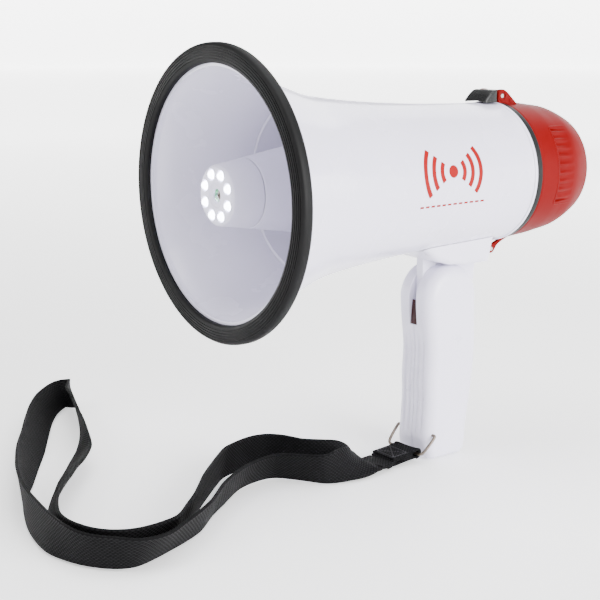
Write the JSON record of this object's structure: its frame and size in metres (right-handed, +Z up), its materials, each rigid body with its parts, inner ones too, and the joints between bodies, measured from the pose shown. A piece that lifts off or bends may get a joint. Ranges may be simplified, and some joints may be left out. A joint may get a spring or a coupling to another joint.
{
  "type": "handheld megaphone",
  "caption": "Handheld megaphone: flared horn with a central light ring, hinged rear cap with microphone and volume control, folding handle with talk trigger, and a wrist strap.",
  "frame": {"origin": "centre of the bounding box at the foot of the handle, without the strap", "axes": "+Z up, the horn axis along Y with the mouth facing -Y, +X on the right seen from the mouth side looking back"},
  "size_m": [0.314, 0.3683, 0.253],
  "materials": {
    "shell_white": "smooth moulded white",
    "rim_rubber": "ribbed black rubber",
    "bell_white": "satin white",
    "circuit_board": "green solder mask",
    "led_lens": "clear lens, lit white",
    "zinc": "dull plated",
    "black_plastic": "black moulded",
    "diaphragm_film": "amber film",
    "brass": "plain",
    "steel": "nickel plated",
    "ferrite": "sintered ferrite",
    "iron_core": "laminated core and winding",
    "cell_case": "steel can in a plain sleeve",
    "handle_white": "smooth moulded white",
    "cap_red": "moulded red",
    "trigger_red": "dark red",
    "webbing": "woven black nylon"
  },
  "bodies": {
    "housing": {"horn_shell": "shell_white", "rim_bumper": "rim_rubber", "seal_ring": "rim_rubber", "horn_bulkhead": "bell_white", "throat_tube": "bell_white", "reflector_cone": "bell_white", "light_cap": "bell_white", "led_board": "circuit_board", "amplifier_board": "circuit_board", "led_1": "led_lens", "led_2": "led_lens", "led_3": "led_lens", "led_4": "led_lens", "led_5": "led_lens", "led_6": "led_lens", "led_7": "led_lens", "led_8": "led_lens", "cone_screw": "zinc", "driver_housing": "black_plastic", "amplifier_capacitor": "black_plastic", "battery_tray": "black_plastic", "diaphragm": "diaphragm_film", "voice_coil": "brass", "front_contact_left": "brass", "front_contact_right": "brass", "magnet_plate": "steel", "magnet_yoke": "steel", "cap_hinge_pin": "steel", "magnet": "ferrite", "output_transformer": "iron_core", "battery_1": "cell_case", "battery_2": "cell_case", "battery_3": "cell_case", "battery_4": "cell_case", "handle_bracket": "handle_white"},
    "rear_cap": {"rear_cap": "cap_red", "contact_board": "circuit_board", "contact_spring_upper_left": "steel", "contact_spring_lower_right": "steel", "contact_leaf_upper_right": "brass", "contact_leaf_lower_left": "brass", "mic_grille": "black_plastic", "mic_capsule": "steel", "volume_potentiometer": "steel", "latch_pin": "steel"},
    "latch": {"latch_lever": "black_plastic"},
    "volume": {"volume_knob": "black_plastic"},
    "light_switch": {"light_switch": "black_plastic"},
    "handle": {"handle_left": "handle_white", "handle_right": "handle_white", "handle_screw_1": "steel", "handle_screw_2": "steel", "handle_screw_3": "steel", "handle_pivot_pin": "steel", "trigger_pin": "steel", "talk_switch": "black_plastic"},
    "trigger": {"trigger": "trigger_red"},
    "bail": {"bail": "steel"},
    "strap": {"strap_tab": "webbing", "strap_loop": "webbing"}
  },
  "joints": [
    {"name": "cap_open", "type": "hinge", "parent": "housing", "child": "rear_cap", "pos_m": [0, 0.068, 0.1255], "axis": [-1, 0, 0], "range_deg": [0, 60]},
    {"name": "latch_lift", "type": "hinge", "parent": "rear_cap", "child": "latch", "pos_m": [0, 0.073, 0.219], "axis": [-1, 0, 0], "range_deg": [0, 70]},
    {"name": "volume_turn", "type": "hinge", "parent": "rear_cap", "child": "volume", "pos_m": [0, 0.12, 0.159], "axis": [0, 1, 0], "range_deg": [-150, 150]},
    {"name": "light_slide", "type": "slide", "parent": "rear_cap", "child": "light_switch", "axis": [1, 0, 0], "range_m": [0, 0.004]},
    {"name": "handle_fold", "type": "hinge", "parent": "housing", "child": "handle", "pos_m": [0, 0.0315, 0.0995], "axis": [1, 0, 0], "range_deg": [0, 64]},
    {"name": "trigger_pull", "type": "hinge", "parent": "handle", "child": "trigger", "pos_m": [0, 0.019, 0.076], "axis": [-1, 0, 0], "range_deg": [0, 5], "stiffness_Nm_per_rad": 0.5, "springref_deg": -2.86},
    {"name": "bail_swing", "type": "hinge", "parent": "handle", "child": "bail", "pos_m": [0, 0.0165, 0.0165], "axis": [1, 0, 0], "range_deg": [-80, 12]},
    {"name": "strap_swing", "type": "hinge", "parent": "bail", "child": "strap", "pos_m": [0, 0.007, 0.006], "axis": [1, 0, 0], "range_deg": [-12, 80]}
  ],
  "couplings": [
    {"joint": "strap_swing", "follows": "bail_swing", "ratio": -1}
  ]
}
